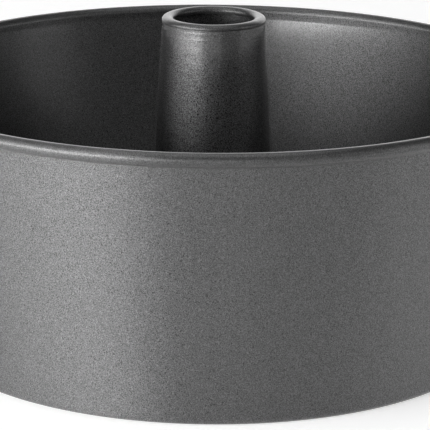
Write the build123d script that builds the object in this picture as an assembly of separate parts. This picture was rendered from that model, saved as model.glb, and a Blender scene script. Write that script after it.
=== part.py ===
"""Angel food cake pan in two loose pieces: an outer ring and a base with a chimney tube.

The outer ring is one bent steel sheet. Its wall leans outwards, its top is rolled round a
stiffening wire, and its foot is turned inwards as a ledge. The base plate drops in from above
and its flat edge rests on that ledge. A tapered tube stands in the middle of the plate, joined
to it by a lock seam under the plate. It rises past the rim, so that the pan can cool upside
down on the tube's lip.

Millimetres, +Z up, origin on the pan's axis at the surface that it stands on.
Every sheet is drawn as the middle line of its section, in radius and height.
"""

import math
import os

from build123d import *

# Outer ring
rim_inside_diameter = 254.0  # clear width inside the straight neck, 10 in
ring_height = 107.4  # floor to the top of the rolled rim
foot_corner_diameter = 228.6  # where the middle lines of wall and ledge would cross, 9 in
wall_gauge = 0.7
neck_height = 4.9  # top of the rim down to where the leaning wall turns upright
neck_bend_radius = 12.0
foot_bend_radius = 2.5
ledge_width = 9.0  # foot corner to the ledge's free edge

# Rolled rim and the wire in it
rim_wire_diameter = 4.0
rim_wire_clearance = 0.05  # between the wire and the sheet rolled round it
rim_roll_clearance = 0.1  # between the roll's free edge and the neck

# Base plate
plate_gauge = 0.7
plate_clearance = 0.4  # between the plate's edge and the start of the foot bend
step_inset = 1.2  # ledge's free edge in to the foot of the step
step_slope_degrees = 60.0
step_bend_radius = 1.2

# Centre tube
tube_gauge = 0.7
tube_height = 129.5  # floor to the top of the tube's lip
tube_foot_diameter = 55.0  # outside, where the tube goes through the plate
tube_foot_bend_radius = 8.0
tube_neck_length = 25.0  # below the lip, down to the shoulder where the taper eases
tube_shoulder_bend_radius = 60.0
tube_neck_taper_degrees = 4.1
lip_outside_diameter = 41.0
lip_crown_radius = 2.65  # the rolled lip's broad top
lip_crown_half_angle_degrees = 33.0  # from the crown's middle to where a side of the roll starts
lip_side_radius = 1.05  # the rolled lip's outer and inner sides
lip_undercut_degrees = 20.0  # how far the roll turns in below its widest point
lip_hidden_degrees = 45.0  # how far the roll goes on past the mouth's narrowest point
lip_neck_bend_radius = 0.65

# Lock seam that joins the tube to the plate
seam_clearance = 0.1  # between the folded sheets
seam_floor_gap = 0.6  # floor up to the bottom of the seam
collar_length = 1.9  # straight part of the plate's turned-down collar
collar_bend_radius = 1.2


class SheetLine:
    """Middle line of a bent sheet in radius and height, laid piece by piece.

    A heading is in degrees from straight outwards, and grows towards straight up.
    """

    def __init__(self, start, heading):
        self.at = Vector(*start)
        self.heading = heading
        self.pieces = []

    def run(self, length):
        """Goes straight on for a length."""
        here = self.at
        self.at = here + Vector(length, 0).rotate(Axis.Z, self.heading)
        self.pieces.append(("run", here, self.at, self.heading))
        return self

    def bend(self, radius, turn):
        """Turns by an angle on an arc, to the left where the angle is positive."""
        side = math.copysign(radius, turn)
        centre = self.at + Vector(0, side).rotate(Axis.Z, self.heading)
        spoke_angle = self.heading - math.copysign(90, turn)
        self.at = centre + Vector(radius, 0).rotate(Axis.Z, spoke_angle + turn)
        self.heading += turn
        self.pieces.append(("bend", centre, radius, spoke_angle, turn))
        return self

    def run_round(self, corner, radius, after):
        """Goes straight towards a corner and round it, to head for the point after it."""
        way_out = Vector(*after) - Vector(*corner)
        turn = math.degrees(math.atan2(way_out.Y, way_out.X)) - self.heading
        turn = (turn + 180) % 360 - 180
        short_of = radius * math.tan(math.radians(abs(turn)) / 2)
        self.run((Vector(*corner) - self.at).length - short_of)
        return self.bend(radius, turn)

    def side(self, offset):
        """Edges of the line moved to its left by an offset, or to its right if negative."""
        edges = []
        for kind, *piece in self.pieces:
            if kind == "run":
                start, end, heading = piece
                aside = Vector(0, offset).rotate(Axis.Z, heading)
                edges.append(Line(start + aside, end + aside))
            else:
                centre, radius, spoke_angle, turn = piece
                moved_radius = radius - math.copysign(offset, offset * turn)
                edges.append(CenterArc(centre, moved_radius, spoke_angle, turn))
        return edges

    def turned(self, gauge):
        """Solid of a sheet of that gauge along the line, turned about the upright axis."""
        left = self.side(gauge / 2)
        right = self.side(-gauge / 2)
        ends = [Line(left[0] @ 0, right[0] @ 0), Line(left[-1] @ 1, right[-1] @ 1)]
        section = make_face([*left, *right, *ends])
        return revolve(Plane.XZ * section, Axis.Z)


# Places that two pieces share
foot_corner = (foot_corner_diameter / 2, wall_gauge / 2)
neck_radius = rim_inside_diameter / 2 + wall_gauge / 2
neck_corner = (neck_radius, ring_height - neck_height)
wall_lean = math.degrees(
    math.atan2(neck_corner[0] - foot_corner[0], neck_corner[1] - foot_corner[1])
)
rim_roll_radius = rim_wire_diameter / 2 + rim_wire_clearance + wall_gauge / 2
rim_roll_centre_height = ring_height - wall_gauge / 2 - rim_roll_radius
ledge_edge_radius = foot_corner[0] - ledge_width

tube_foot_radius = tube_foot_diameter / 2 - tube_gauge / 2
collar_radius = tube_foot_diameter / 2 + seam_clearance + plate_gauge / 2
hook_bend_radius = (tube_gauge + plate_gauge) / 2 + seam_clearance
hook_height = seam_floor_gap + tube_gauge / 2 + hook_bend_radius
seat_height = wall_gauge + plate_gauge / 2
field_height = hook_height + collar_length + collar_bend_radius


def outer_ring():
    """Ledge, foot bend, leaning wall, upright neck, and the roll outwards round the wire."""
    free_gap = wall_gauge + rim_roll_clearance
    past_level = math.degrees(math.acos(free_gap / rim_roll_radius - 1))
    line = SheetLine((ledge_edge_radius, foot_corner[1]), heading=0)
    line.run_round(foot_corner, foot_bend_radius, after=neck_corner)
    line.run_round(neck_corner, neck_bend_radius, after=(neck_radius, ring_height))
    line.run(rim_roll_centre_height - line.at.Y)
    line.bend(rim_roll_radius, -180 - past_level)
    return line.turned(wall_gauge)


def rim_wire():
    """Round wire, closed as a hoop, that fills the rolled rim."""
    hoop_radius = neck_radius + rim_roll_radius
    section = Location((hoop_radius, rim_roll_centre_height)) * Circle(rim_wire_diameter / 2)
    return revolve(Plane.XZ * section, Axis.Z)


def base_plate():
    """Flat edge on the ledge, step up to the field, and the collar turned down at the hole."""
    foot_bend_reach = foot_bend_radius * math.tan(math.radians(90 - wall_lean) / 2)
    edge_radius = foot_corner[0] - foot_bend_reach - plate_clearance
    step_foot = (ledge_edge_radius - step_inset, seat_height)
    step_run = (field_height - seat_height) / math.tan(math.radians(step_slope_degrees))
    step_top = (step_foot[0] - step_run, field_height)
    collar_corner = (collar_radius, field_height)

    line = SheetLine((edge_radius, seat_height), heading=180)
    line.run_round(step_foot, step_bend_radius, after=step_top)
    line.run_round(step_top, step_bend_radius, after=collar_corner)
    line.run_round(collar_corner, collar_bend_radius, after=(collar_radius, 0))
    line.run(collar_length)
    return line.turned(plate_gauge)


def centre_tube():
    """Rolled lip, neck, two tapers down to the foot, and the hook folded round the collar."""
    side_angle = 90 - lip_crown_half_angle_degrees
    crown_to_side = Vector(lip_crown_radius - lip_side_radius, 0).rotate(Axis.Z, side_angle)
    crown_centre = Vector(
        lip_outside_diameter / 2 - tube_gauge / 2 - lip_side_radius - crown_to_side.X,
        tube_height - tube_gauge / 2 - lip_crown_radius,
    )
    inner_side_centre = crown_centre + Vector(-crown_to_side.X, crown_to_side.Y)
    first_spoke = 180 + lip_hidden_degrees
    lip_start = inner_side_centre + Vector(lip_side_radius, 0).rotate(Axis.Z, first_spoke)
    foot = (tube_foot_radius, field_height + plate_gauge)

    line = SheetLine((lip_start.X, lip_start.Y), heading=first_spoke - 90)
    line.bend(lip_side_radius, -side_angle - lip_hidden_degrees)
    line.bend(lip_crown_radius, -2 * lip_crown_half_angle_degrees)
    line.bend(lip_side_radius, -side_angle - lip_undercut_degrees)
    line.bend(lip_neck_bend_radius, lip_undercut_degrees + tube_neck_taper_degrees)
    shoulder = line.at + Vector(tube_neck_length, 0).rotate(Axis.Z, line.heading)
    line.run_round((shoulder.X, shoulder.Y), tube_shoulder_bend_radius, after=foot)
    line.run_round(foot, tube_foot_bend_radius, after=(tube_foot_radius, 0))
    line.run(line.at.Y - hook_height)
    line.bend(hook_bend_radius, 180)
    line.run(collar_length)
    return line.turned(tube_gauge)


os.makedirs("parts", exist_ok=True)
for name, make in {
    "outer_ring": outer_ring,
    "rim_wire": rim_wire,
    "base_plate": base_plate,
    "centre_tube": centre_tube,
}.items():
    export_step(make(), f"parts/{name}.step")
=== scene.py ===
"""Angel food cake pan: coated sheet steel in two loose pieces, dressed for a studio photograph.

Metres, +Z up, origin on the pan's axis at the surface that it stands on.
"""

import logging
import math
from collections.abc import Iterator
from dataclasses import dataclass, field, replace
from enum import Enum

import bpy
import numpy as np
from mathutils import Matrix, Vector
from numpy.typing import NDArray


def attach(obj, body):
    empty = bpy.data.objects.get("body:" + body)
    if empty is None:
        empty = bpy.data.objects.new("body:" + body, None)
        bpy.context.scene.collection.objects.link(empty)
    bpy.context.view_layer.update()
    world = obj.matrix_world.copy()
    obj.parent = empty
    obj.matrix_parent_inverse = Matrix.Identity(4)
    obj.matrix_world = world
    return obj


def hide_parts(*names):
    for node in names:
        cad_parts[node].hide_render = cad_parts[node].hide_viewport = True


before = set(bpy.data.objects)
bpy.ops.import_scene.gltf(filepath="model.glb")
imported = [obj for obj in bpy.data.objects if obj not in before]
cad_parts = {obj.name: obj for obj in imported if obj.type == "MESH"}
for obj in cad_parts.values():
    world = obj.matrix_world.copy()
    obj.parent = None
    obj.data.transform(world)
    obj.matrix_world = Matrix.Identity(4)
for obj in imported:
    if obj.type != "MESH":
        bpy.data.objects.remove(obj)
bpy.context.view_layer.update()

MM = 0.001
WHITE = (1.0, 1.0, 1.0, 1.0)
log = logging.getLogger("cake_pan")

Array = NDArray[np.float64]


@dataclass
class SheetLine:
    """Middle line of a bent sheet in radius and height, laid piece by piece.

    Attributes:
        start: Radius and height where the line starts.
        heading: Direction in radians, from straight outwards towards straight up.
        longest: Longest step between two samples of a straight run.
        ease: Distance from both ends of a run to its nearest inner sample.
        arc_step: Largest turn between two samples of a bend, in radians.
        edge_samples: Number of samples round a free edge.
        edge_ratio: Half the gauge over the depth to which a free edge is rounded.
        points: Samples of each piece laid so far.
        headings: Heading at each of those samples.
    """

    start: tuple[float, float]
    heading: float
    longest: float = 7.0 * MM
    ease: float = 0.2 * MM
    arc_step: float = math.radians(6.0)
    edge_samples: int = 9
    edge_ratio: float = 3.0
    points: list[Array] = field(default_factory=list)
    headings: list[Array] = field(default_factory=list)

    def __post_init__(self) -> None:
        """Sets the pen at the start."""
        self.at = np.array(self.start, float)

    def run(self, length: float) -> None:
        """Goes straight on: the point at distance s is the start plus s times the heading's unit vector.

        Args:
            length: Length of the run.
        """
        count = max(2, math.ceil(length / self.longest) + 1)
        inner = np.linspace(self.ease, length - self.ease, count)
        steps = np.concatenate([[0.0], inner, [length]])
        way = np.array([math.cos(self.heading), math.sin(self.heading)])
        self._lay(self.at + steps[:, None] * way, np.full(len(steps), self.heading))

    def bend(self, radius: float, turn: float) -> None:
        """Turns on an arc: the spoke from the arc's centre turns evenly by the whole angle.

        Args:
            radius: Radius of the middle line's arc.
            turn: Angle in radians, to the left where it is positive.
        """
        side = math.copysign(1.0, turn)
        centre = self.at + side * radius * np.array([-math.sin(self.heading), math.cos(self.heading)])
        headings = self.heading + np.linspace(0.0, turn, math.ceil(abs(turn) / self.arc_step) + 2)
        spokes = np.stack([np.sin(headings), -np.cos(headings)], axis=1)
        self._lay(centre + side * radius * spokes, headings)

    def run_round(self, corner: Array, radius: float, after: Array) -> None:
        """Goes straight towards a corner and round it, to head for the point after it.

        The run stops short of the corner by the radius times the tangent of half the turn.

        Args:
            corner: Where the two straight runs would cross.
            radius: Radius of the bend.
            after: Any point further along the second run.
        """
        way_out = after - corner
        turn = math.remainder(math.atan2(way_out[1], way_out[0]) - self.heading, math.tau)
        short_of = radius * math.tan(abs(turn) / 2)
        self.run(float(np.linalg.norm(corner - self.at)) - short_of)
        self.bend(radius, turn)

    def outline(self, gauge: float) -> tuple[Array, Array]:
        """Closed outline of a sheet of that gauge: up its left side, round its edge and back.

        A side is the middle line moved half the gauge along its normal. Each free edge is half
        a superellipse of exponent four, which leaves a sheared edge with softened corners.

        Args:
            gauge: Thickness of the sheet.

        Returns:
            Outline points in radius and height, and the distance along the sheet of each.
        """
        middle = np.concatenate(self.points)
        headings = np.concatenate(self.headings)
        along = np.concatenate([[0.0], np.cumsum(np.linalg.norm(np.diff(middle, axis=0), axis=1))])
        normals = np.stack([-np.sin(headings), np.cos(headings)], axis=1)
        half = gauge / 2
        left = middle + half * normals
        right = middle - half * normals
        far_edge = self._edge(middle[-1], headings[-1], half)
        near_edge = self._edge(middle[0], headings[0] + math.pi, half)
        ring = np.concatenate([left, far_edge, right[::-1], near_edge])
        distance = np.concatenate(
            [along, np.full(len(far_edge), along[-1]), along[::-1], np.zeros(len(near_edge))]
        )
        return ring, distance

    def _edge(self, end: Array, heading: float, half: float) -> Array:
        """Rounds a free edge: half a superellipse, half a gauge wide to each side of its middle.

        The square roots of a sine and a cosine give the superellipse of exponent four.

        Args:
            end: Middle of the sheet's edge.
            heading: Direction out of the sheet, in radians.
            half: Half the gauge.

        Returns:
            Points from the left side to the right side, without the sides' own last points.
        """
        angles = np.linspace(math.pi / 2, -math.pi / 2, self.edge_samples + 2)[1:-1]
        depth = half / self.edge_ratio
        out = depth * np.sqrt(np.cos(angles))
        across = half * np.sign(np.sin(angles)) * np.sqrt(np.abs(np.sin(angles)))
        ahead = np.array([math.cos(heading), math.sin(heading)])
        left = np.array([-ahead[1], ahead[0]])
        return end - depth * ahead + out[:, None] * ahead + across[:, None] * left

    def _lay(self, points: Array, headings: Array) -> None:
        """Adds a piece's samples, without its first where that repeats the last one laid.

        Args:
            points: Samples of the piece.
            headings: Heading at each sample.
        """
        first = 1 if self.points else 0
        self.points.append(points[first:])
        self.headings.append(headings[first:])
        self.at = points[-1]
        self.heading = float(headings[-1])


def turned_mesh(name: str, outline: Array, distance: Array, turns: int) -> bpy.types.Object:
    """Turns a closed outline about Z: x is r cos a, y is r sin a and z is the height.

    The map UVMap holds metres: across is the angle times the outline's mean radius, and up is
    the distance along the sheet. The map OFBake holds each face once in the unit square: across
    is the share of the turn, and up is the share of the way round the outline.

    Args:
        name: Name of the object.
        outline: Closed outline in radius and height, without a repeated last point.
        distance: Distance along the sheet of each outline point.
        turns: Number of steps round the axis.

    Returns:
        The object, with its place in its mesh and its faces pointing out of the metal.
    """
    following = np.roll(outline, -1, axis=0)
    signed_area = np.sum(outline[:, 0] * following[:, 1] - following[:, 0] * outline[:, 1]) / 2
    if signed_area > 0:
        outline, distance = outline[::-1], distance[::-1]
    count = len(outline)
    sides = np.linalg.norm(np.roll(outline, -1, axis=0) - outline, axis=1)
    angles = np.arange(turns) * (math.tau / turns)
    x = np.cos(angles)[:, None] * outline[:, 0]
    y = np.sin(angles)[:, None] * outline[:, 0]
    z = np.broadcast_to(outline[:, 1], x.shape)
    vertices = np.stack([x, y, z], axis=-1).reshape(-1, 3)

    turn, step = np.meshgrid(np.arange(turns), np.arange(count), indexing="ij")
    next_turn, next_step = (turn + 1) % turns, (step + 1) % count
    corners = [(turn, step), (turn, next_step), (next_turn, next_step), (next_turn, step)]
    faces = np.stack([a * count + b for a, b in corners], axis=-1).reshape(-1, 4)

    share = np.concatenate([[0.0], np.cumsum(sides)]) / sides.sum()
    columns = np.stack([turn, turn, turn + 1, turn + 1], axis=-1)
    metres = math.tau * outline[:, 0].mean() / turns
    up = np.stack([distance[step], distance[next_step], distance[next_step], distance[step]], axis=-1)
    unit_up = np.stack([share[step], share[step + 1], share[step + 1], share[step]], axis=-1)

    mesh = bpy.data.meshes.new(name)
    mesh.from_pydata(vertices, [], faces)
    for title, u, v in (("UVMap", columns * metres, up), ("OFBake", columns / turns, unit_up)):
        layer = mesh.uv_layers.new(name=title)
        layer.uv.foreach_set("vector", np.stack([u, v], axis=-1).astype(np.float32).ravel())
    mesh.polygons.foreach_set("use_smooth", np.ones(len(faces), bool))
    mesh.update()
    piece = bpy.data.objects.new(name, mesh)
    bpy.context.scene.collection.objects.link(piece)
    return piece


def face_places(piece: bpy.types.Object) -> tuple[Array, Array]:
    """Radius and height of each face's middle: the radius is the root of x squared plus y squared.

    Args:
        piece: A piece turned about Z.

    Returns:
        The radii and the heights.
    """
    middles = np.empty(3 * len(piece.data.polygons))
    piece.data.polygons.foreach_get("center", middles)
    x, y, z = middles.reshape(-1, 3).T
    return np.hypot(x, y), z


def coat_piece(
    piece: bpy.types.Object, coat: bpy.types.Material, rolled_shaded_coat: bpy.types.Material, on_roll: Array
) -> None:
    """Coats a piece, with another coat where its sheet is rolled, whose darker tone is painted shade.

    Args:
        piece: The piece.
        coat: Coat of the piece.
        rolled_shaded_coat: Coat of its roll, darker as painted shade.
        on_roll: True for each face on the roll.
    """
    piece.data.materials.append(coat)
    piece.data.materials.append(rolled_shaded_coat)
    piece.data.polygons.foreach_set("material_index", on_roll.astype(np.int32))


class Space(Enum):
    """Coordinates that a finish's patterns follow."""

    OBJECT = "Object"
    SHEET = "UV"


class Detail(Enum):
    """Number of finer octaves that a noise carries."""

    PLAIN = 0.0
    SOFT = 2.0
    FINE = 3.0


@dataclass
class Graph:
    """Node tree of one material, with its shader and output in place."""

    material: bpy.types.Material

    def __post_init__(self) -> None:
        """Clears the tree and joins a Principled shader to the output."""
        self.material.use_nodes = True
        self.tree = self.material.node_tree
        self.tree.nodes.clear()
        self.shader = self.add("ShaderNodeBsdfPrincipled")
        output = self.add("ShaderNodeOutputMaterial")
        self.join(self.shader.outputs["BSDF"], output.inputs["Surface"])

    def add(self, kind: str, **settings: object) -> bpy.types.Node:
        """Adds a node.

        Args:
            kind: Blender's name of the node type.
            **settings: Node properties to set.

        Returns:
            The node.
        """
        node = self.tree.nodes.new(kind)
        for key, value in settings.items():
            setattr(node, key, value)
        return node

    def join(self, source: bpy.types.NodeSocket, target: bpy.types.NodeSocket) -> None:
        """Links two sockets.

        Args:
            source: Output socket.
            target: Input socket.
        """
        self.tree.links.new(source, target)

    def coordinates(self, space: Space, stretch: tuple[float, float, float]) -> bpy.types.NodeSocket:
        """Coordinates times a stretch for each axis.

        Args:
            space: Which coordinates to read.
            stretch: Factors along the three axes.

        Returns:
            The stretched vector.
        """
        source = self.add("ShaderNodeTexCoord")
        mapping = self.add("ShaderNodeMapping")
        mapping.inputs["Scale"].default_value = stretch
        self.join(source.outputs[space.value], mapping.inputs["Vector"])
        return mapping.outputs["Vector"]

    def noise(self, vector: bpy.types.NodeSocket, size: float, detail: Detail) -> bpy.types.NodeSocket:
        """Noise whose blobs are about a size across.

        Args:
            vector: Coordinates in metres.
            size: Size of a blob, in metres.
            detail: How many finer octaves it carries.

        Returns:
            The noise value, near a half.
        """
        node = self.add("ShaderNodeTexNoise")
        node.inputs["Scale"].default_value = 1.0 / size
        node.inputs["Detail"].default_value = detail.value
        self.join(vector, node.inputs["Vector"])
        return node.outputs["Fac"]

    def spread(self, value: bpy.types.NodeSocket, low: float, high: float) -> bpy.types.NodeSocket:
        """Maps a value that runs from 0 to 1 evenly onto a range.

        Args:
            value: The value.
            low: Result at 0.
            high: Result at 1.

        Returns:
            The mapped value.
        """
        node = self.add("ShaderNodeMapRange")
        node.inputs["To Min"].default_value = low
        node.inputs["To Max"].default_value = high
        self.join(value, node.inputs["Value"])
        return node.outputs["Result"]

    def times(self, first: bpy.types.NodeSocket, second: bpy.types.NodeSocket) -> bpy.types.NodeSocket:
        """Product of two values.

        Args:
            first: One value.
            second: The other value.

        Returns:
            The product.
        """
        node = self.add("ShaderNodeMath", operation="MULTIPLY")
        self.join(first, node.inputs[0])
        self.join(second, node.inputs[1])
        return node.outputs["Value"]

    def bump(
        self, height: bpy.types.NodeSocket, depth: float, normal: bpy.types.NodeSocket | None = None
    ) -> bpy.types.NodeSocket:
        """Normal of a surface raised by a height.

        Args:
            height: Height from 0 to 1.
            depth: Height in metres that 1 stands for.
            normal: Normal to start from, or None for the surface's own.

        Returns:
            The bumped normal.
        """
        node = self.add("ShaderNodeBump")
        node.inputs["Distance"].default_value = depth
        self.join(height, node.inputs["Height"])
        if normal is not None:
            self.join(normal, node.inputs["Normal"])
        return node.outputs["Normal"]


@dataclass(frozen=True)
class ReleaseCoat:
    """Baked grey release coat on rolled sheet steel: metal flakes under a clear glaze.

    The rolling lines run round the pan, so the flakes spread light mostly up and down.

    Attributes:
        name: Name of the material.
        tone: Linear grey of the flakes.
        satin: Roughness of the flakes.
        satin_swing: How far the roughness goes from its mean, up and down.
        satin_patch: Width of a patch of one roughness, in flakes.
        stretch: How much wider the flakes spread light across the rolling lines than along them.
        stretch_turn: Turn of the spread from the tangent round the pan, as a share of a full turn.
        tint: Factors on red, green and blue.
        glaze: Weight of the clear glaze.
        glaze_satin: Roughness of the glaze.
        glaze_index: Refractive index of the glaze.
        flake: Size of one metal flake.
        flake_tilt: How far a flake leans from the surface, as a share of its normal.
        flake_contrast: How much brighter than the mean a flake is where the noise is 1.
        mottle: Size of the soft patches left by spraying.
        mottle_swing: How far a patch's brightness goes from the mean, up and down.
        spin_depth: Depth of the fine rings left by spinning, or 0 for none.
        spin_pitch: Width of one spun ring.
        spin_run: How fast the rings change round the tube, against 1 along it.
    """

    name: str
    tone: float = 0.105
    satin: float = 0.5
    satin_swing: float = 0.03
    satin_patch: float = 2.0
    stretch: float = 0.9
    stretch_turn: float = 0.25
    tint: tuple[float, float, float] = (1.0, 1.0, 1.01)
    glaze: float = 1.0
    glaze_satin: float = 0.12
    glaze_index: float = 1.4
    flake: float = 0.35 * MM
    flake_tilt: float = 0.12
    flake_contrast: float = 1.2
    mottle: float = 9.0 * MM
    mottle_swing: float = 0.06
    spin_depth: float = 0.0
    spin_pitch: float = 1.2 * MM
    spin_run: float = 0.02

    def material(self) -> bpy.types.Material:
        """Makes the material.

        Each flake is a Voronoi cell, whose random colour leans the normal. Noise of the flakes'
        size sets their brightness, and coarser noise varies the roughness and the film.

        Returns:
            The material.
        """
        graph = Graph(bpy.data.materials.new(self.name))
        place = graph.coordinates(Space.OBJECT, (1.0, 1.0, 1.0))
        cells = graph.add("ShaderNodeTexVoronoi")
        cells.inputs["Scale"].default_value = 1.0 / self.flake
        graph.join(place, cells.inputs["Vector"])

        flakes = graph.noise(place, self.flake, Detail.PLAIN)
        glint = graph.spread(flakes, 1.0 - self.flake_contrast, 1.0 + self.flake_contrast)
        mottling = graph.noise(place, self.mottle, Detail.SOFT)
        patch = graph.spread(mottling, 1.0 - self.mottle_swing, 1.0 + self.mottle_swing)
        level = graph.times(glint, patch)
        film = graph.add("ShaderNodeVectorMath", operation="SCALE")
        film.inputs[0].default_value = tuple(self.tone * share for share in self.tint)
        graph.join(level, film.inputs["Scale"])
        graph.join(film.outputs["Vector"], graph.shader.inputs["Base Color"])

        patches = graph.noise(place, self.flake * self.satin_patch, Detail.SOFT)
        rough = graph.spread(patches, self.satin - self.satin_swing, self.satin + self.satin_swing)
        graph.join(rough, graph.shader.inputs["Roughness"])
        graph.shader.inputs["Metallic"].default_value = 1.0
        graph.shader.inputs["Anisotropic"].default_value = self.stretch
        graph.shader.inputs["Anisotropic Rotation"].default_value = self.stretch_turn
        graph.shader.inputs["Coat Weight"].default_value = self.glaze
        graph.shader.inputs["Coat Roughness"].default_value = self.glaze_satin
        graph.shader.inputs["Coat IOR"].default_value = self.glaze_index
        lines = graph.add("ShaderNodeTangent", direction_type="RADIAL", axis="Z")
        graph.join(lines.outputs["Tangent"], graph.shader.inputs["Tangent"])

        normal = self._flake_normal(graph, cells.outputs["Color"])
        if self.spin_depth > 0:
            along = graph.coordinates(Space.SHEET, (self.spin_run, 1.0, 1.0))
            rings = graph.noise(along, self.spin_pitch, Detail.FINE)
            normal = graph.bump(rings, self.spin_depth, normal)
            graph.join(graph.bump(rings, self.spin_depth), graph.shader.inputs["Coat Normal"])
        graph.join(normal, graph.shader.inputs["Normal"])
        return graph.material

    def _flake_normal(self, graph: Graph, cell_colour: bpy.types.NodeSocket) -> bpy.types.NodeSocket:
        """Leans the surface normal by each cell's random colour, taken from minus to plus a half.

        Args:
            graph: The material's nodes.
            cell_colour: Random colour of each flake.

        Returns:
            The leaning unit normal.
        """
        centred = graph.add("ShaderNodeVectorMath", operation="SUBTRACT")
        centred.inputs[1].default_value = (0.5, 0.5, 0.5)
        graph.join(cell_colour, centred.inputs[0])
        lean = graph.add("ShaderNodeVectorMath", operation="SCALE")
        lean.inputs["Scale"].default_value = self.flake_tilt
        graph.join(centred.outputs["Vector"], lean.inputs[0])
        surface = graph.add("ShaderNodeNewGeometry")
        total = graph.add("ShaderNodeVectorMath", operation="ADD")
        graph.join(surface.outputs["Normal"], total.inputs[0])
        graph.join(lean.outputs["Vector"], total.inputs[1])
        unit = graph.add("ShaderNodeVectorMath", operation="NORMALIZE")
        graph.join(total.outputs["Vector"], unit.inputs[0])
        return unit.outputs["Vector"]


@dataclass(frozen=True)
class DrawnWire:
    """Bright drawn steel wire, with die lines along it.

    Attributes:
        name: Name of the material.
        tone: Linear grey of the steel.
        tint: Factors on red, green and blue.
        rough: Mean roughness.
        rough_swing: How far the roughness goes from its mean, up and down.
        line_width: Width of one die line.
        line_run: How fast the lines change in the hoop's plane, against 1 across that plane.
        line_contrast: How far a line's brightness goes from the mean, up and down.
        line_depth: Depth of the lines.
    """

    name: str
    tone: float = 0.5
    tint: tuple[float, float, float] = (1.0, 0.99, 0.97)
    rough: float = 0.3
    rough_swing: float = 0.08
    line_width: float = 0.12 * MM
    line_run: float = 0.02
    line_contrast: float = 0.15
    line_depth: float = 0.004 * MM

    def material(self) -> bpy.types.Material:
        """Makes the material: height noise makes lines that run round the hoop with the wire.

        Returns:
            The material.
        """
        graph = Graph(bpy.data.materials.new(self.name))
        place = graph.coordinates(Space.OBJECT, (self.line_run, self.line_run, 1.0))
        lines = graph.noise(place, self.line_width, Detail.FINE)
        level = graph.spread(lines, 1.0 - self.line_contrast, 1.0 + self.line_contrast)
        steel = graph.add("ShaderNodeVectorMath", operation="SCALE")
        steel.inputs[0].default_value = tuple(self.tone * share for share in self.tint)
        graph.join(level, steel.inputs["Scale"])
        graph.join(steel.outputs["Vector"], graph.shader.inputs["Base Color"])
        rough = graph.spread(lines, self.rough - self.rough_swing, self.rough + self.rough_swing)
        graph.join(rough, graph.shader.inputs["Roughness"])
        graph.shader.inputs["Metallic"].default_value = 1.0
        graph.join(graph.bump(lines, self.line_depth), graph.shader.inputs["Normal"])
        return graph.material


@dataclass
class OuterRing:
    """The pan's wall: a leaning sheet with a ledge at its foot and a roll round a wire at its top.

    Attributes:
        gauge: Thickness of the sheet.
        inside_diameter: Width inside the neck.
        height: Height of the rolled rim's top.
        foot_corner_diameter: Width between the corners of wall and ledge, on their middle lines.
        neck_height: Distance from the rim's top down to the corner of wall and neck.
        neck_bend: Radius of the bend from wall to neck.
        foot_bend: Radius of the bend from ledge to wall.
        ledge_width: Width of the ledge, from the foot's corner to its free edge.
        wire_diameter: Thickness of the rim's wire.
        wire_gap: Gap between the wire and the sheet round it.
        free_edge_gap: Gap between the roll's free edge and the neck.
        turns: Number of steps round the axis.
    """

    gauge: float = 0.7 * MM
    inside_diameter: float = 254.0 * MM
    height: float = 107.4 * MM
    foot_corner_diameter: float = 228.6 * MM
    neck_height: float = 4.9 * MM
    neck_bend: float = 12.0 * MM
    foot_bend: float = 2.5 * MM
    ledge_width: float = 9.0 * MM
    wire_diameter: float = 4.0 * MM
    wire_gap: float = 0.05 * MM
    free_edge_gap: float = 0.1 * MM
    turns: int = 360

    @property
    def foot_corner(self) -> Array:
        """Where the middle lines of wall and ledge would cross."""
        return np.array([self.foot_corner_diameter / 2, self.gauge / 2])

    @property
    def neck_corner(self) -> Array:
        """Where the middle lines of leaning wall and upright neck would cross."""
        return np.array([self.inside_diameter / 2 + self.gauge / 2, self.height - self.neck_height])

    @property
    def roll(self) -> float:
        """Radius of the middle line rolled round the wire."""
        return self.wire_diameter / 2 + self.wire_gap + self.gauge / 2

    @property
    def roll_start(self) -> float:
        """Height where the neck starts to roll over."""
        return self.height - self.gauge / 2 - self.roll

    def build(self) -> bpy.types.Object:
        """Lays ledge, foot bend, wall, neck and the roll round the wire, and turns the sheet.

        The roll goes on past its lowest point until its free edge is one gap from the neck:
        past level by the angle whose cosine is the gauge and gap over the roll's radius, less one.

        Returns:
            The piece.
        """
        past_level = math.acos((self.gauge + self.free_edge_gap) / self.roll - 1)
        line = SheetLine((self.foot_corner[0] - self.ledge_width, self.foot_corner[1]), heading=0.0)
        line.run_round(self.foot_corner, self.foot_bend, after=self.neck_corner)
        above = self.neck_corner + np.array([0.0, self.neck_height])
        line.run_round(self.neck_corner, self.neck_bend, after=above)
        line.run(self.roll_start - line.at[1])
        line.bend(self.roll, -math.pi - past_level)
        return turned_mesh("ring_sheet", *line.outline(self.gauge), self.turns)

    def on_roll(self, piece: bpy.types.Object) -> Array:
        """Tells which faces are on the rolled rim: above the roll's start, or outside the neck.

        Args:
            piece: The sheet.

        Returns:
            True for each face on the roll.
        """
        radius, height = face_places(piece)
        neck_outside = self.inside_diameter / 2 + self.gauge + self.free_edge_gap / 2
        return (height > self.roll_start) | (radius > neck_outside)

    def dress(
        self,
        piece: bpy.types.Object,
        coat: bpy.types.Material,
        rolled_shaded_coat: bpy.types.Material,
        wire: bpy.types.Material,
    ) -> None:
        """Coats the sheet and seats it on the ring's body, and gives the wire its steel.

        Args:
            piece: The sheet.
            coat: Release coat.
            rolled_shaded_coat: Release coat where the sheet is rolled round the wire, with a darker tone
                as painted shade.
            wire: Drawn steel.
        """
        coat_piece(piece, coat, rolled_shaded_coat, self.on_roll(piece))
        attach(piece, "ring")
        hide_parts("outer_ring")
        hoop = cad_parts["rim_wire"]
        hoop.data.materials.clear()
        hoop.data.materials.append(wire)


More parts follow.
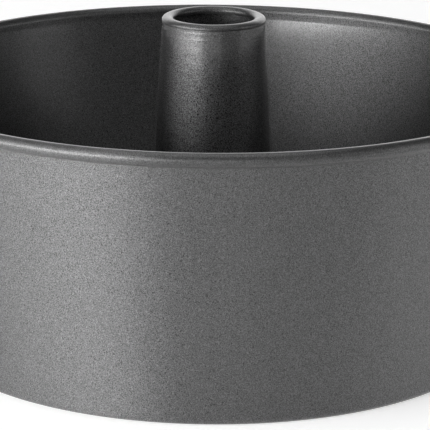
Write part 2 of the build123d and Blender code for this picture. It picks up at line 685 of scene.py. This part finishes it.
@dataclass
class LooseBase:
    """The loose base: a stepped plate, and a chimney tube hooked round the plate's collar.

    Attributes:
        gauge: Thickness of both sheets.
        seat_height: Height of the middle line of the plate's flat edge.
        edge_radius: Radius of the plate's free edge.
        step_foot_radius: Radius where the plate's step starts to rise.
        step_slope: Slope of the step.
        step_bend: Radius of both bends of the step.
        seam_gap: Gap between the folded sheets of the seam.
        seam_floor_gap: Height of the seam's lowest point.
        collar_length: Length of the collar, and of the hook's straight end beside it.
        collar_bend: Radius of the bend from field to collar.
        tube_height: Height of the lip's top.
        tube_foot_diameter: Outside width of the tube at its foot.
        tube_foot_bend: Radius of the bend at the tube's foot.
        neck_length: Length from the lip's underside to the corner of neck and taper.
        shoulder_bend: Radius of the bend from neck to taper.
        neck_taper: Lean of the neck from upright.
        lip_diameter: Outside width of the lip.
        lip_crown: Radius of the lip's top.
        lip_crown_half_angle: Half the turn of the lip's top.
        lip_side: Radius of both sides of the lip.
        lip_undercut: Turn of the lip's outer side past upright.
        lip_hidden: Turn of the lip's inner side past upright.
        lip_neck_bend: Radius of the bend from lip to neck.
        plate_turns: Number of steps of the plate round the axis.
        tube_turns: Number of steps of the tube round the axis.
    """

    gauge: float = 0.7 * MM
    seat_height: float = 1.05 * MM
    edge_radius: float = 111.7 * MM
    step_foot_radius: float = 104.1 * MM
    step_slope: float = math.radians(60.0)
    step_bend: float = 1.2 * MM
    seam_gap: float = 0.1 * MM
    seam_floor_gap: float = 0.6 * MM
    collar_length: float = 1.9 * MM
    collar_bend: float = 1.2 * MM
    tube_height: float = 129.5 * MM
    tube_foot_diameter: float = 55.0 * MM
    tube_foot_bend: float = 8.0 * MM
    neck_length: float = 25.0 * MM
    shoulder_bend: float = 60.0 * MM
    neck_taper: float = math.radians(4.1)
    lip_diameter: float = 41.0 * MM
    lip_crown: float = 2.65 * MM
    lip_crown_half_angle: float = math.radians(33.0)
    lip_side: float = 1.05 * MM
    lip_undercut: float = math.radians(20.0)
    lip_hidden: float = math.radians(45.0)
    lip_neck_bend: float = 0.65 * MM
    plate_turns: int = 360
    tube_turns: int = 240

    @property
    def hook_bend(self) -> float:
        """Radius of the tube's hook, whose two sides clear the collar between them."""
        return self.gauge + self.seam_gap

    @property
    def hook_height(self) -> float:
        """Height where the tube's hook starts to turn."""
        return self.seam_floor_gap + self.gauge / 2 + self.hook_bend

    @property
    def field_height(self) -> float:
        """Height of the flat field's middle line, above the collar and its bend."""
        return self.hook_height + self.collar_length + self.collar_bend

    @property
    def lip_side_angle(self) -> float:
        """Turn of each side of the lip, from upright to the crown."""
        return math.pi / 2 - self.lip_crown_half_angle

    @property
    def lip_side_height(self) -> float:
        """Height of the centres that the lip's two sides turn about."""
        above = (self.lip_crown - self.lip_side) * math.sin(self.lip_side_angle)
        return self.tube_height - self.gauge / 2 - self.lip_crown + above

    def build_plate(self) -> bpy.types.Object:
        """Lays the flat edge, the step, the field and the collar, and turns the sheet.

        Returns:
            The plate.
        """
        step_run = (self.field_height - self.seat_height) / math.tan(self.step_slope)
        step_foot = np.array([self.step_foot_radius, self.seat_height])
        step_top = np.array([self.step_foot_radius - step_run, self.field_height])
        collar = self.tube_foot_diameter / 2 + self.seam_gap + self.gauge / 2
        collar_corner = np.array([collar, self.field_height])
        line = SheetLine((self.edge_radius, self.seat_height), heading=math.pi)
        line.run_round(step_foot, self.step_bend, after=step_top)
        line.run_round(step_top, self.step_bend, after=collar_corner)
        line.run_round(collar_corner, self.collar_bend, after=np.array([collar, 0.0]))
        line.run(self.collar_length)
        return turned_mesh("base_sheet", *line.outline(self.gauge), self.plate_turns)

    def build_tube(self) -> bpy.types.Object:
        """Lays the rolled lip, the neck, the two tapers and the hook, and turns the sheet.

        Returns:
            The tube.
        """
        side_angle = self.lip_side_angle
        across = (self.lip_crown - self.lip_side) * math.cos(side_angle)
        inner_side = np.array([
            self.lip_diameter / 2 - self.gauge / 2 - self.lip_side - 2 * across,
            self.lip_side_height,
        ])
        spoke = math.pi + self.lip_hidden
        start = inner_side + self.lip_side * np.array([math.cos(spoke), math.sin(spoke)])
        foot_radius = self.tube_foot_diameter / 2 - self.gauge / 2
        foot = np.array([foot_radius, self.field_height + self.gauge])
        line = SheetLine((start[0], start[1]), heading=spoke - math.pi / 2)
        line.bend(self.lip_side, -side_angle - self.lip_hidden)
        line.bend(self.lip_crown, -2 * self.lip_crown_half_angle)
        line.bend(self.lip_side, -side_angle - self.lip_undercut)
        line.bend(self.lip_neck_bend, self.lip_undercut + self.neck_taper)
        ahead = np.array([math.cos(line.heading), math.sin(line.heading)])
        line.run_round(line.at + self.neck_length * ahead, self.shoulder_bend, after=foot)
        line.run_round(foot, self.tube_foot_bend, after=np.array([foot_radius, 0.0]))
        line.run(float(line.at[1]) - self.hook_height)
        line.bend(self.hook_bend, math.pi)
        line.run(self.collar_length)
        return turned_mesh("tube_sheet", *line.outline(self.gauge), self.tube_turns)

    def on_lip(self, tube: bpy.types.Object) -> Array:
        """Tells which faces are on the tube's lip: above the lowest point of its sides.

        Args:
            tube: The tube.

        Returns:
            True for each face on the lip.
        """
        _, height = face_places(tube)
        return height > self.lip_side_height - self.lip_side

    def dress(
        self,
        plate: bpy.types.Object,
        tube: bpy.types.Object,
        coat: bpy.types.Material,
        spun: bpy.types.Material,
        lip_shaded_coat: bpy.types.Material,
    ) -> None:
        """Coats plate and tube and seats both on the base's body.

        Args:
            plate: The plate.
            tube: The tube.
            coat: Release coat of the pressed plate.
            spun: Release coat over the spun tube.
            lip_shaded_coat: Release coat over the tube's rolled lip, with a darker tone as painted
                shade.
        """
        plate.data.materials.append(coat)
        coat_piece(tube, spun, lip_shaded_coat, self.on_lip(tube))
        for piece, node in ((plate, "base_plate"), (tube, "centre_tube")):
            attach(piece, "base")
            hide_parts(node)


@dataclass(frozen=True)
class SoftBox:
    """A soft studio lamp that faces the pan.

    Attributes:
        name: Name of the lamp.
        azimuth: Direction from the pan in degrees, 0 in front and positive to the right.
        elevation: Height above the pan's horizon in degrees.
        width: Width of its face.
        height: Height of its face.
        radiance: Brightness of its face, where 1 is white.
        distance: Distance from the pan's middle.
    """

    name: str
    azimuth: float
    elevation: float
    width: float
    height: float
    radiance: float
    distance: float = 1.6

    def hang(self, target: Vector) -> None:
        """Makes the lamp. A face of radiance L and area A gives L times A times pi watts.

        Args:
            target: Point that the lamp faces.
        """
        turn, rise = math.radians(self.azimuth), math.radians(self.elevation)
        way = Vector((math.sin(turn) * math.cos(rise), -math.cos(turn) * math.cos(rise), math.sin(rise)))
        lamp = bpy.data.lights.new(self.name, "AREA")
        lamp.shape = "RECTANGLE"
        lamp.size = self.width
        lamp.size_y = self.height
        lamp.energy = self.radiance * self.width * self.height * math.pi
        holder = bpy.data.objects.new(self.name, lamp)
        holder.location = target + way * self.distance
        holder.rotation_mode = "QUATERNION"
        holder.rotation_quaternion = way.to_track_quat("Z", "Y")
        holder.visible_camera = False
        bpy.context.scene.collection.objects.link(holder)


@dataclass
class Studio:
    """White table, white backdrop behind the pan, plain grey surroundings and soft lamps.

    Attributes:
        lamps: The lamps.
        target_height: Height on the pan's axis that the lamps face.
        paper_white: Share of the light that the paper of table and backdrop gives back.
        glow: The table's own white, beside the light that it gives back.
        backdrop_glow: The backdrop's own white.
        fill: Brightness of the surroundings.
        floor_radius: Radius of the round table.
        floor_rings: Number of the table's rings.
        floor_turns: Number of the table's steps round the axis.
        backdrop_radius: Distance of the curved backdrop behind the pan.
        backdrop_height: Height of the backdrop.
        backdrop_half_angle: Turn from the backdrop's middle to one of its ends.
        backdrop_columns: Number of places along the backdrop's edge.
    """

    lamps: tuple[SoftBox, ...] = (
        SoftBox("key_wide", azimuth=-54.0, elevation=7.5, width=2.2, height=0.5, radiance=7.6),
        SoftBox("key_middle", azimuth=-50.0, elevation=7.5, width=1.2, height=0.5, radiance=1.6),
        SoftBox("key_core", azimuth=-45.0, elevation=7.5, width=0.55, height=0.5, radiance=2.4),
        SoftBox("key_front", azimuth=-36.0, elevation=7.5, width=0.7, height=0.5, radiance=5.0),
        SoftBox("key_back", azimuth=-62.0, elevation=7.5, width=0.7, height=0.5, radiance=3.1),
        SoftBox("key_side", azimuth=-92.0, elevation=7.5, width=0.7, height=0.5, radiance=1.4),
        SoftBox("high_left", azimuth=-40.0, elevation=26.0, width=1.1, height=0.5, radiance=2.0),
        SoftBox("high_side", azimuth=-75.0, elevation=26.0, width=0.9, height=0.5, radiance=1.1),
        SoftBox("low_front", azimuth=0.0, elevation=7.5, width=1.0, height=0.5, radiance=2.1),
        SoftBox("low_right", azimuth=80.0, elevation=7.5, width=1.2, height=0.5, radiance=1.8),
        SoftBox("high_right", azimuth=50.0, elevation=26.0, width=1.4, height=0.5, radiance=1.0),
        SoftBox("overhead", azimuth=0.0, elevation=88.0, width=1.2, height=1.2, radiance=1.6),
        SoftBox("behind", azimuth=180.0, elevation=26.0, width=1.4, height=0.5, radiance=1.1),
    )
    target_height: float = 0.06
    paper_white: float = 0.8
    glow: float = 0.48
    backdrop_glow: float = 1.0
    fill: float = 0.12
    floor_radius: float = 6.0
    floor_rings: int = 12
    floor_turns: int = 96
    backdrop_radius: float = 3.0
    backdrop_height: float = 2.1
    backdrop_half_angle: float = math.radians(50.0)
    backdrop_columns: int = 25

    def build(self) -> None:
        """Lays the table, stands the backdrop, sets the surroundings and hangs the lamps."""
        self._table(self._paper("table_white", self.glow))
        self._backdrop(self._paper("backdrop_white", self.backdrop_glow))
        self._surroundings()
        for lamp in self.lamps:
            lamp.hang(Vector((0.0, 0.0, self.target_height)))

    def _white_rays(self, tree: bpy.types.NodeTree) -> bpy.types.NodeSocket:
        """One where the ray comes from the camera, a mirror or glass, and otherwise zero.

        Args:
            tree: Node tree to add to.

        Returns:
            The largest of the three ray tests.
        """
        rays = tree.nodes.new("ShaderNodeLightPath")
        value = rays.outputs["Is Camera Ray"]
        for test in ("Is Glossy Ray", "Is Transmission Ray"):
            largest = tree.nodes.new("ShaderNodeMath")
            largest.operation = "MAXIMUM"
            tree.links.new(value, largest.inputs[0])
            tree.links.new(rays.outputs[test], largest.inputs[1])
            value = largest.outputs["Value"]
        return value

    def _table(self, paper: bpy.types.Material) -> None:
        """Lays a round table of rings: the radius grows evenly, and the height is zero.

        Args:
            paper: White paper.
        """
        rings, turns = self.floor_rings, self.floor_turns
        radius = np.linspace(self.floor_radius / rings, self.floor_radius, rings)
        angles = np.arange(turns) * (math.tau / turns)
        x = radius[:, None] * np.cos(angles)
        y = radius[:, None] * np.sin(angles)
        grid = np.stack([x, y, np.zeros_like(x)], axis=-1).reshape(-1, 3)
        ring, turn = np.meshgrid(np.arange(rings - 1), np.arange(turns), indexing="ij")
        after = (turn + 1) % turns
        inner, outer = ring * turns, (ring + 1) * turns
        corners = [inner + turn, outer + turn, outer + after, inner + after]
        faces = np.stack(corners, axis=-1).reshape(-1, 4)
        mesh = bpy.data.meshes.new("table_top")
        mesh.from_pydata(grid, [], [*faces.tolist(), list(range(turns))])
        table = bpy.data.objects.new("table_top", mesh)
        bpy.context.scene.collection.objects.link(table)
        table.data.materials.append(paper)

    def _backdrop(self, paper: bpy.types.Material) -> None:
        """Stands a sheet of paper behind the pan, bent as part of an upright cylinder.

        The place is the radius times the sine and cosine of the turn, once on the table and once
        at the paper's top.

        Args:
            paper: White paper.
        """
        columns = self.backdrop_columns
        turn = np.linspace(-self.backdrop_half_angle, self.backdrop_half_angle, columns)
        x = self.backdrop_radius * np.sin(turn)
        y = self.backdrop_radius * np.cos(turn)
        foot = np.stack([x, y, np.zeros(columns)], axis=-1)
        top = foot + np.array([0.0, 0.0, self.backdrop_height])
        grid = np.concatenate([foot, top])
        start = np.arange(columns - 1)
        faces = np.stack([start, start + columns, start + columns + 1, start + 1], axis=-1)
        mesh = bpy.data.meshes.new("backdrop")
        mesh.from_pydata(grid, [], faces)
        sheet = bpy.data.objects.new("backdrop", mesh)
        bpy.context.scene.collection.objects.link(sheet)
        sheet.data.materials.append(paper)

    def _paper(self, name: str, own_white: float) -> bpy.types.Material:
        """Makes white paper, which shows some white of its own to the camera and in mirrors.

        Args:
            name: Name of the material.
            own_white: How much white it shows by itself.

        Returns:
            The material.
        """
        material = bpy.data.materials.new(name)
        material.use_nodes = True
        tree = material.node_tree
        tree.nodes.clear()
        paper = tree.nodes.new("ShaderNodeBsdfDiffuse")
        paper.inputs["Color"].default_value = (self.paper_white, self.paper_white, self.paper_white, 1.0)
        glow = tree.nodes.new("ShaderNodeEmission")
        glow.inputs["Color"].default_value = WHITE
        strength = tree.nodes.new("ShaderNodeMath")
        strength.operation = "MULTIPLY"
        strength.inputs[1].default_value = own_white
        tree.links.new(self._white_rays(tree), strength.inputs[0])
        tree.links.new(strength.outputs["Value"], glow.inputs["Strength"])
        both = tree.nodes.new("ShaderNodeAddShader")
        output = tree.nodes.new("ShaderNodeOutputMaterial")
        tree.links.new(paper.outputs["BSDF"], both.inputs[0])
        tree.links.new(glow.outputs["Emission"], both.inputs[1])
        tree.links.new(both.outputs["Shader"], output.inputs["Surface"])
        return material

    def _surroundings(self) -> None:
        """Makes the surroundings one plain grey."""
        world = bpy.data.worlds.new("surroundings")
        world.use_nodes = True
        tree = world.node_tree
        tree.nodes.clear()
        sky = tree.nodes.new("ShaderNodeBackground")
        sky.inputs["Color"].default_value = WHITE
        sky.inputs["Strength"].default_value = self.fill
        output = tree.nodes.new("ShaderNodeOutputWorld")
        tree.links.new(sky.outputs["Background"], output.inputs["Surface"])
        bpy.context.scene.world = world


@dataclass(frozen=True)
class PhotoCamera:
    """The photograph's viewpoint, from the fit of the rim, foot and tube outlines.

    Attributes:
        place: Position in the pan's frame.
        yaw: Turn to the right of straight ahead, in radians.
        pitch: Tilt below the horizon, in radians.
        roll: Turn about the line of sight, in radians.
        focal_pixels: Focal length in pixels of the photograph.
        frame_pixels: Side of the photograph in pixels.
        sensor_mm: Width of the sensor.
    """

    place: tuple[float, float, float] = (18.97 * MM, -1024.7 * MM, 342.3 * MM)
    yaw: float = math.radians(-1.0036)
    pitch: float = math.radians(16.0425)
    roll: float = math.radians(0.4196)
    focal_pixels: float = 2648.2
    frame_pixels: float = 430.0
    sensor_mm: float = 36.0

    def build(self) -> None:
        """Makes the camera: its axes are right, up and back, turned by yaw, pitch and roll."""
        ahead = Vector((
            math.sin(self.yaw) * math.cos(self.pitch),
            math.cos(self.yaw) * math.cos(self.pitch),
            -math.sin(self.pitch),
        ))
        level = ahead.cross(Vector((0.0, 0.0, 1.0))).normalized()
        upright = level.cross(ahead)
        right = math.cos(self.roll) * level + math.sin(self.roll) * upright
        up = math.cos(self.roll) * upright - math.sin(self.roll) * level
        lens = bpy.data.cameras.new("photo_camera")
        lens.sensor_width = self.sensor_mm
        lens.lens = self.focal_pixels / self.frame_pixels * self.sensor_mm
        camera = bpy.data.objects.new("photo_camera", lens)
        turned = Matrix((right, up, -ahead)).transposed().to_4x4()
        camera.matrix_world = Matrix.Translation(Vector(self.place)) @ turned
        bpy.context.scene.collection.objects.link(camera)
        bpy.context.scene.camera = camera


def report(pieces: list[bpy.types.Object]) -> Iterator[str]:
    """One line for each piece: its name, its face count and its size in millimetres.

    Args:
        pieces: The pieces.

    Yields:
        The line.
    """
    for piece in pieces:
        size = " x ".join(f"{side / MM:.1f}" for side in piece.dimensions)
        yield f"{piece.name}: {len(piece.data.polygons)} faces, {size} mm"


def main() -> None:
    """Builds and dresses the ring and the base, then the studio and the camera."""
    logging.basicConfig(level=logging.INFO, format="%(name)s %(message)s")
    bpy.context.scene.view_settings.view_transform = "Standard"
    coat = ReleaseCoat("release_coat").material()
    # The rolled rim's coat has a rougher glaze, and its darker tone is painted shade that dims the rim's
    # highlights.
    rolled = ReleaseCoat("release_coat_rolled_shaded", tone=0.075, satin=0.45, glaze_satin=0.33).material()
    spun_coat = ReleaseCoat(
        "release_coat_spun", tone=0.082, satin=0.6, stretch=0.7, flake_contrast=1.6, spin_depth=0.04 * MM
    )
    spun = spun_coat.material()
    # The lip's coat has a rougher glaze, and its darker tone is painted shade that dims the lip's
    # highlights.
    lip_shaded_coat = replace(spun_coat, name="release_coat_lip_shaded", tone=0.075, glaze_satin=0.33).material()
    wire = DrawnWire("drawn_wire").material()

    ring = OuterRing()
    sheet = ring.build()
    ring.dress(sheet, coat, rolled, wire)
    base = LooseBase()
    plate = base.build_plate()
    tube = base.build_tube()
    base.dress(plate, tube, coat, spun, lip_shaded_coat)
    for line in report([sheet, plate, tube]):
        log.info(line)

    Studio().build()
    PhotoCamera().build()


if __name__ == "__main__":
    main()
